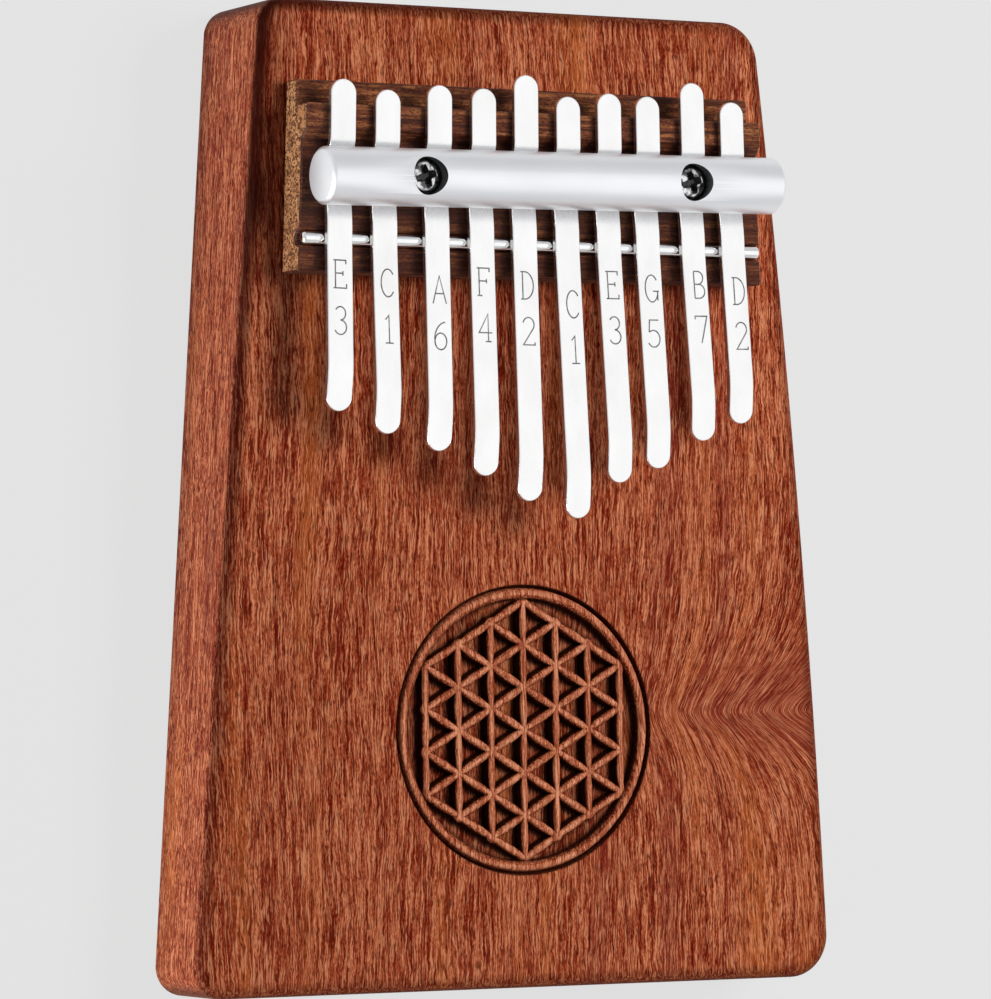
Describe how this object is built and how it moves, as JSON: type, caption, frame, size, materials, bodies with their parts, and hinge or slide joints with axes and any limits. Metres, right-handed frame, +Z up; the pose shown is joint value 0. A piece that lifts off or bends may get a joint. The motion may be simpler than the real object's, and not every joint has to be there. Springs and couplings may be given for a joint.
{
  "type": "mbira",
  "caption": "Board mbira: a tapering hardwood board with a carved rosette, and sprung steel tongues clamped over a bridge by a round metal bar",
  "frame": {"origin": "middle of the bounding box in X and Y, on the plane of the board's flat back, which it lies on", "axes": "+X to the player's right, +Y along the board towards the tuning end, +Z up out of the carved face"},
  "size_m": [0.1264, 0.172, 0.041],
  "materials": {
    "body_wood": "oiled reddish-brown hardwood with a fine straight grain",
    "bridge_wood": "dark brown hardwood, grain across the board, pale speckled end grain",
    "rod_chrome": "polished chromed steel rod",
    "bar_aluminium": "satin anodised aluminium",
    "screw_black_steel": "glossy blackened steel",
    "tine_steel": "bright spring steel"
  },
  "bodies": {
    "root": {"body": "body_wood", "bridge_block": "bridge_wood", "bridge_rod": "rod_chrome", "pressure_bar": "bar_aluminium", "screw_left": "screw_black_steel", "screw_right": "screw_black_steel"},
    "tine_01": {"tine_01_clamped_end": "tine_steel"},
    "tine_01_flex": {"tine_01_tongue": "tine_steel"},
    "tine_02": {"tine_02_clamped_end": "tine_steel"},
    "tine_02_flex": {"tine_02_tongue": "tine_steel"},
    "tine_03": {"tine_03_clamped_end": "tine_steel"},
    "tine_03_flex": {"tine_03_tongue": "tine_steel"},
    "tine_04": {"tine_04_clamped_end": "tine_steel"},
    "tine_04_flex": {"tine_04_tongue": "tine_steel"},
    "tine_05": {"tine_05_clamped_end": "tine_steel"},
    "tine_05_flex": {"tine_05_tongue": "tine_steel"},
    "tine_06": {"tine_06_clamped_end": "tine_steel"},
    "tine_06_flex": {"tine_06_tongue": "tine_steel"},
    "tine_07": {"tine_07_clamped_end": "tine_steel"},
    "tine_07_flex": {"tine_07_tongue": "tine_steel"},
    "tine_08": {"tine_08_clamped_end": "tine_steel"},
    "tine_08_flex": {"tine_08_tongue": "tine_steel"},
    "tine_09": {"tine_09_clamped_end": "tine_steel"},
    "tine_09_flex": {"tine_09_tongue": "tine_steel"},
    "tine_10": {"tine_10_clamped_end": "tine_steel"},
    "tine_10_flex": {"tine_10_tongue": "tine_steel"}
  },
  "joints": [
    {"name": "tine_01_tuning", "type": "slide", "parent": "root", "child": "tine_01", "axis": [-0.0236, -0.9992, -0.032], "range_m": [-0.0015, 0.0015]},
    {"name": "tine_01_pluck", "type": "hinge", "parent": "tine_01", "child": "tine_01_flex", "pos_m": [-0.03942, 0.04359, 0.0299], "axis": [0.9997, -0.0236, -0.0008], "range_deg": [-2.5, 4], "stiffness_Nm_per_rad": 13.92},
    {"name": "tine_02_tuning", "type": "slide", "parent": "root", "child": "tine_02", "axis": [-0.0184, -0.9993, -0.032], "range_m": [-0.0015, 0.0015]},
    {"name": "tine_02_pluck", "type": "hinge", "parent": "tine_02", "child": "tine_02_flex", "pos_m": [-0.03072, 0.04359, 0.0299], "axis": [0.9998, -0.0184, -0.0006], "range_deg": [-2.5, 4], "stiffness_Nm_per_rad": 12.34},
    {"name": "tine_03_tuning", "type": "slide", "parent": "root", "child": "tine_03", "axis": [-0.0123, -0.9994, -0.032], "range_m": [-0.0015, 0.0015]},
    {"name": "tine_03_pluck", "type": "hinge", "parent": "tine_03", "child": "tine_03_flex", "pos_m": [-0.02052, 0.04359, 0.0299], "axis": [0.9999, -0.0123, -0.0004], "range_deg": [-2.5, 4], "stiffness_Nm_per_rad": 11.39},
    {"name": "tine_04_tuning", "type": "slide", "parent": "root", "child": "tine_04", "axis": [-0.007, -0.9995, -0.032], "range_m": [-0.0015, 0.0015]},
    {"name": "tine_04_pluck", "type": "hinge", "parent": "tine_04", "child": "tine_04_flex", "pos_m": [-0.01172, 0.04359, 0.0299], "axis": [1, -0.007, -0.0002], "range_deg": [-2.5, 4], "stiffness_Nm_per_rad": 10.21},
    {"name": "tine_05_tuning", "type": "slide", "parent": "root", "child": "tine_05", "axis": [-0.0019, -0.9995, -0.032], "range_m": [-0.0015, 0.0015]},
    {"name": "tine_05_pluck", "type": "hinge", "parent": "tine_05", "child": "tine_05_flex", "pos_m": [-0.00322, 0.04359, 0.0299], "axis": [1, -0.0019, -0.0001], "range_deg": [-2.5, 4], "stiffness_Nm_per_rad": 9.24},
    {"name": "tine_06_tuning", "type": "slide", "parent": "root", "child": "tine_06", "axis": [0.0032, -0.9995, -0.032], "range_m": [-0.0015, 0.0015]},
    {"name": "tine_06_pluck", "type": "hinge", "parent": "tine_06", "child": "tine_06_flex", "pos_m": [0.00528, 0.04359, 0.0299], "axis": [1, 0.0032, 0.0001], "range_deg": [-2.5, 4], "stiffness_Nm_per_rad": 8.66},
    {"name": "tine_07_tuning", "type": "slide", "parent": "root", "child": "tine_07", "axis": [0.0082, -0.9995, -0.032], "range_m": [-0.0015, 0.0015]},
    {"name": "tine_07_pluck", "type": "hinge", "parent": "tine_07", "child": "tine_07_flex", "pos_m": [0.01368, 0.04359, 0.0299], "axis": [1, 0.0082, 0.0003], "range_deg": [-2.5, 4], "stiffness_Nm_per_rad": 9.97},
    {"name": "tine_08_tuning", "type": "slide", "parent": "root", "child": "tine_08", "axis": [0.013, -0.9994, -0.032], "range_m": [-0.0015, 0.0015]},
    {"name": "tine_08_pluck", "type": "hinge", "parent": "tine_08", "child": "tine_08_flex", "pos_m": [0.02158, 0.04359, 0.0299], "axis": [0.9999, 0.013, 0.0004], "range_deg": [-2.5, 4], "stiffness_Nm_per_rad": 10.63},
    {"name": "tine_09_tuning", "type": "slide", "parent": "root", "child": "tine_09", "axis": [0.0185, -0.9993, -0.032], "range_m": [-0.0015, 0.0015]},
    {"name": "tine_09_pluck", "type": "hinge", "parent": "tine_09", "child": "tine_09_flex", "pos_m": [0.03088, 0.04359, 0.0299], "axis": [0.9998, 0.0185, 0.0006], "range_deg": [-2.5, 4], "stiffness_Nm_per_rad": 12.2},
    {"name": "tine_10_tuning", "type": "slide", "parent": "root", "child": "tine_10", "axis": [0.0235, -0.9992, -0.032], "range_m": [-0.0015, 0.0015]},
    {"name": "tine_10_pluck", "type": "hinge", "parent": "tine_10", "child": "tine_10_flex", "pos_m": [0.03908, 0.04359, 0.0299], "axis": [0.9997, 0.0234, 0.0007], "range_deg": [-2.5, 4], "stiffness_Nm_per_rad": 13.46}
  ]
}
